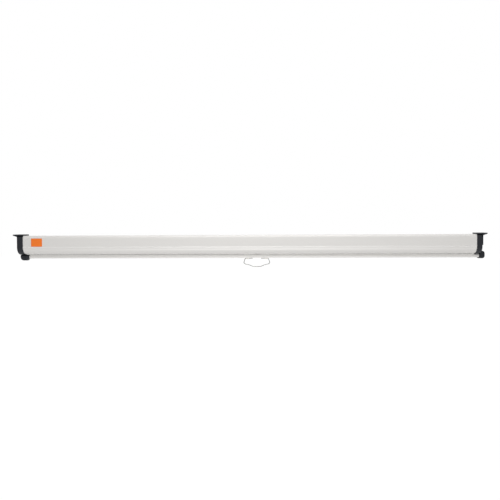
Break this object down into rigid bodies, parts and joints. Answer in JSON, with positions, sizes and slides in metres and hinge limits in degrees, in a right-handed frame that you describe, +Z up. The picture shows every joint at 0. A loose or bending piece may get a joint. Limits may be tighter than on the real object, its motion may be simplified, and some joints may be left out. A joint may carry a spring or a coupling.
{
  "type": "pull-down projector screen",
  "caption": "Projection screen that pulls down from a spring roller in a slim wall or ceiling casing, locks where it is stopped and winds back by itself.",
  "frame": {"origin": "midway between the two brackets, in the plane of the wall that they hang on and in the plane of the ceiling that their top plates meet", "axes": "+X to the viewer's right along the casing, +Y from the screen towards the wall, +Z up; the screen is pulled down along -Z"},
  "size_m": [1.6642, 0.068, 0.1193],
  "materials": {
    "silver_case": "satin silver paint on an aluminium extrusion",
    "black_moulding": "fine matt moulded texture",
    "black_steel": "black powder coat",
    "orange_label": "printed film, plain",
    "bright_steel": "zinc plated",
    "spring_steel": "oiled spring steel",
    "handle_wire": "drawn and plated wire",
    "bush_brass": "turned",
    "white_moulding": "moulded",
    "grey_moulding": "moulded",
    "tube_aluminium": "mill finish",
    "screen_cloth": "matt white coated cloth",
    "screen_border": "black printed border of the cloth"
  },
  "bodies": {
    "casing": {"casing_shell": "silver_case", "end_cap_left": "black_moulding", "end_cap_right": "black_moulding", "bracket_left": "black_steel", "bracket_right": "black_steel", "case_screw_left_front": "bright_steel", "case_screw_left_back": "bright_steel", "case_screw_right_front": "bright_steel", "case_screw_right_back": "bright_steel", "label_plate": "orange_label", "spindle_shaft": "bright_steel", "notched_disc": "bright_steel", "shaft_clip": "spring_steel", "spring_anchor": "grey_moulding", "torsion_spring": "spring_steel", "bearing_bush": "bush_brass"},
    "roller": {"roller_tube": "tube_aluminium", "roller_plug_left": "grey_moulding", "roller_plug_right": "grey_moulding", "spring_plug": "grey_moulding", "idle_pin": "bright_steel", "fabric_roll": "screen_cloth", "pawl_pin_upper": "bright_steel", "pawl_pin_lower": "bright_steel"},
    "upper_pawl": {"lock_pawl_upper": "bright_steel"},
    "lower_pawl": {"lock_pawl_lower": "bright_steel"},
    "bottom_bar": {"bar_profile": "silver_case", "hem_rod": "bright_steel", "fabric_drop": "screen_border", "bar_cap_left": "black_moulding", "bar_cap_right": "black_moulding", "handle_clip_left": "white_moulding", "handle_clip_right": "white_moulding", "clip_screw_left": "bright_steel", "clip_screw_right": "bright_steel"},
    "handle": {"pull_handle": "handle_wire"}
  },
  "joints": [
    {"name": "bar_drop", "type": "slide", "parent": "casing", "child": "bottom_bar", "axis": [0, 0, -1], "range_m": [0, 1.143], "deforming": ["fabric_drop"]},
    {"name": "roller_spin", "type": "hinge", "parent": "casing", "child": "roller", "pos_m": [0, -0.039, -0.034], "axis": [1, 0, 0], "range_deg": [-3600, 0], "stiffness_Nm_per_rad": 0.0066, "springref_deg": 1890.76},
    {"name": "upper_pawl_swing", "type": "hinge", "parent": "roller", "child": "upper_pawl", "pos_m": [-0.7955, -0.0469, -0.0235], "axis": [1, 0, 0], "range_deg": [-11, 12]},
    {"name": "lower_pawl_swing", "type": "hinge", "parent": "roller", "child": "lower_pawl", "pos_m": [-0.7955, -0.0311, -0.0445], "axis": [1, 0, 0], "range_deg": [-11, 12]},
    {"name": "handle_swing", "type": "hinge", "parent": "bottom_bar", "child": "handle", "pos_m": [0.033, -0.0185, -0.08855], "axis": [1, 0, 0], "range_deg": [-80, 80]}
  ],
  "couplings": [
    {"joint": "roller_spin", "follows": "bar_drop", "rad_per_m": -54.97}
  ]
}
